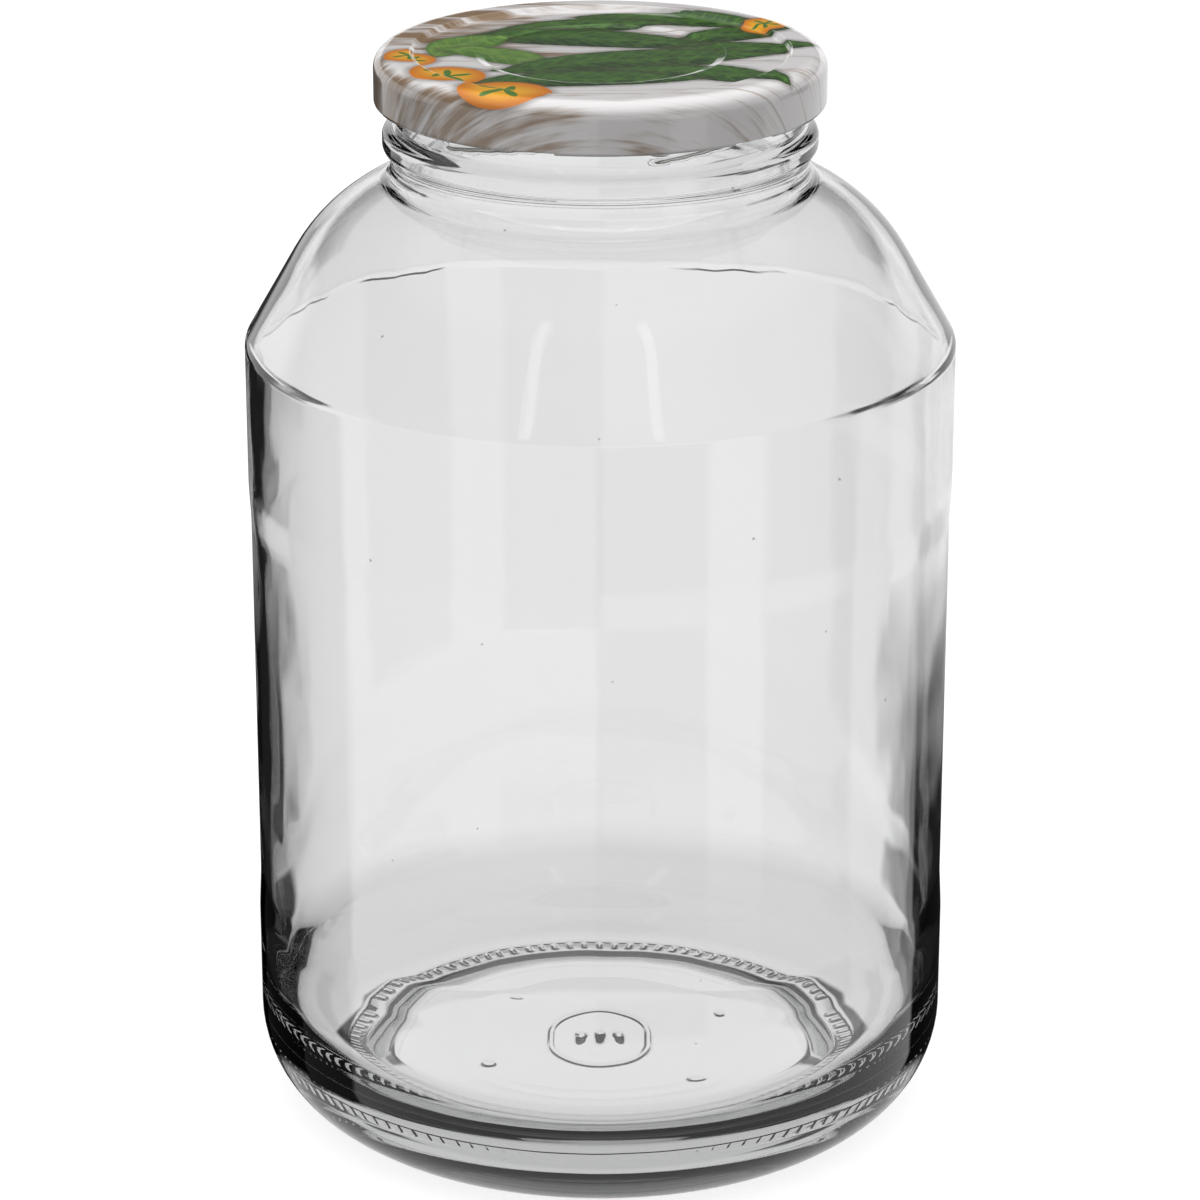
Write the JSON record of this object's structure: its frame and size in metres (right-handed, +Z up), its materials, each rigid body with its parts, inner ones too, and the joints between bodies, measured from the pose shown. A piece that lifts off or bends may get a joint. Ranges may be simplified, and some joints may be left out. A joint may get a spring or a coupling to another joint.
{
  "type": "glass pickle jar",
  "caption": "Large empty clear glass jar with rounded shoulder, recessed label panel and domed base, closed by a printed twist-off metal cap.",
  "frame": {"origin": "centre of the bearing ring that the jar stands on", "axes": "+Z up along the jar's axis, -Y towards the front, +X to the right seen from the front"},
  "size_m": [0.1644, 0.1644, 0.2568],
  "materials": {
    "glass": "clear, glossy",
    "printed_steel": "glossy print",
    "seal": "satin"
  },
  "bodies": {
    "root": {"jar_glass": "glass", "lid": "printed_steel", "lid_seal": "seal"}
  },
  "joints": []
}
